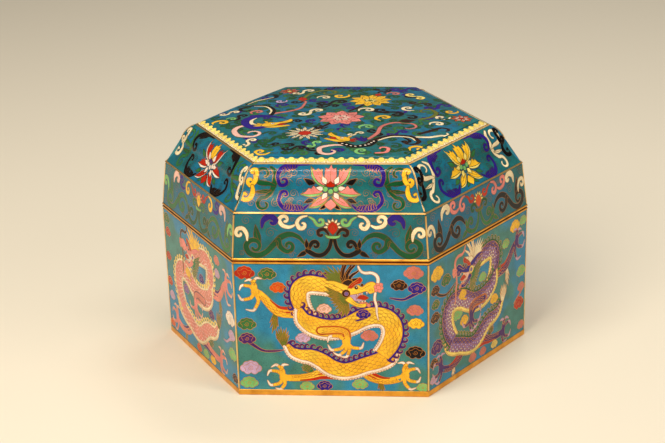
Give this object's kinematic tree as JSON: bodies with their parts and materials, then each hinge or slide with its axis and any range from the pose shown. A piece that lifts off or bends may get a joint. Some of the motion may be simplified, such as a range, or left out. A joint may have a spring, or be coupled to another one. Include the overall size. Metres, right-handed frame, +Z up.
{
  "type": "cloisonne enamel box",
  "caption": "Six-sided lidded box in cloisonne enamel on copper, straight walls, ogee-shouldered lift-off lid with a low domed top, gilt foot and mouth rims.",
  "frame": {"origin": "centre of the underside of the foot", "axes": "+Z up, +X through a corner, -Y through the middle of the front side"},
  "size_m": [0.241, 0.209, 0.1514],
  "materials": {
    "turquoise_enamel": "fired glass enamel, polished, slightly pitted",
    "gilt_bronze": "fire-gilt bronze, softly worn",
    "gilt_wire": "gilt copper wire, polished flush"
  },
  "bodies": {
    "root": {"foot_frame": "gilt_bronze", "box_body": "turquoise_enamel", "mouth_rim_and_collar": "gilt_bronze", "lid_rim": "gilt_bronze", "lid_shell": "turquoise_enamel", "body_corner_wire_1": "gilt_wire", "body_corner_wire_2": "gilt_wire", "body_corner_wire_3": "gilt_wire", "body_corner_wire_4": "gilt_wire", "body_corner_wire_5": "gilt_wire", "body_corner_wire_6": "gilt_wire", "skirt_corner_wire_1": "gilt_wire", "skirt_corner_wire_2": "gilt_wire", "skirt_corner_wire_3": "gilt_wire", "skirt_corner_wire_4": "gilt_wire", "skirt_corner_wire_5": "gilt_wire", "skirt_corner_wire_6": "gilt_wire", "shoulder_corner_wire_1": "gilt_wire", "shoulder_corner_wire_2": "gilt_wire", "shoulder_corner_wire_3": "gilt_wire", "shoulder_corner_wire_4": "gilt_wire", "shoulder_corner_wire_5": "gilt_wire", "shoulder_corner_wire_6": "gilt_wire", "shoulder_edge_wire": "gilt_wire", "crown_edge_wire": "gilt_wire"}
  },
  "joints": []
}
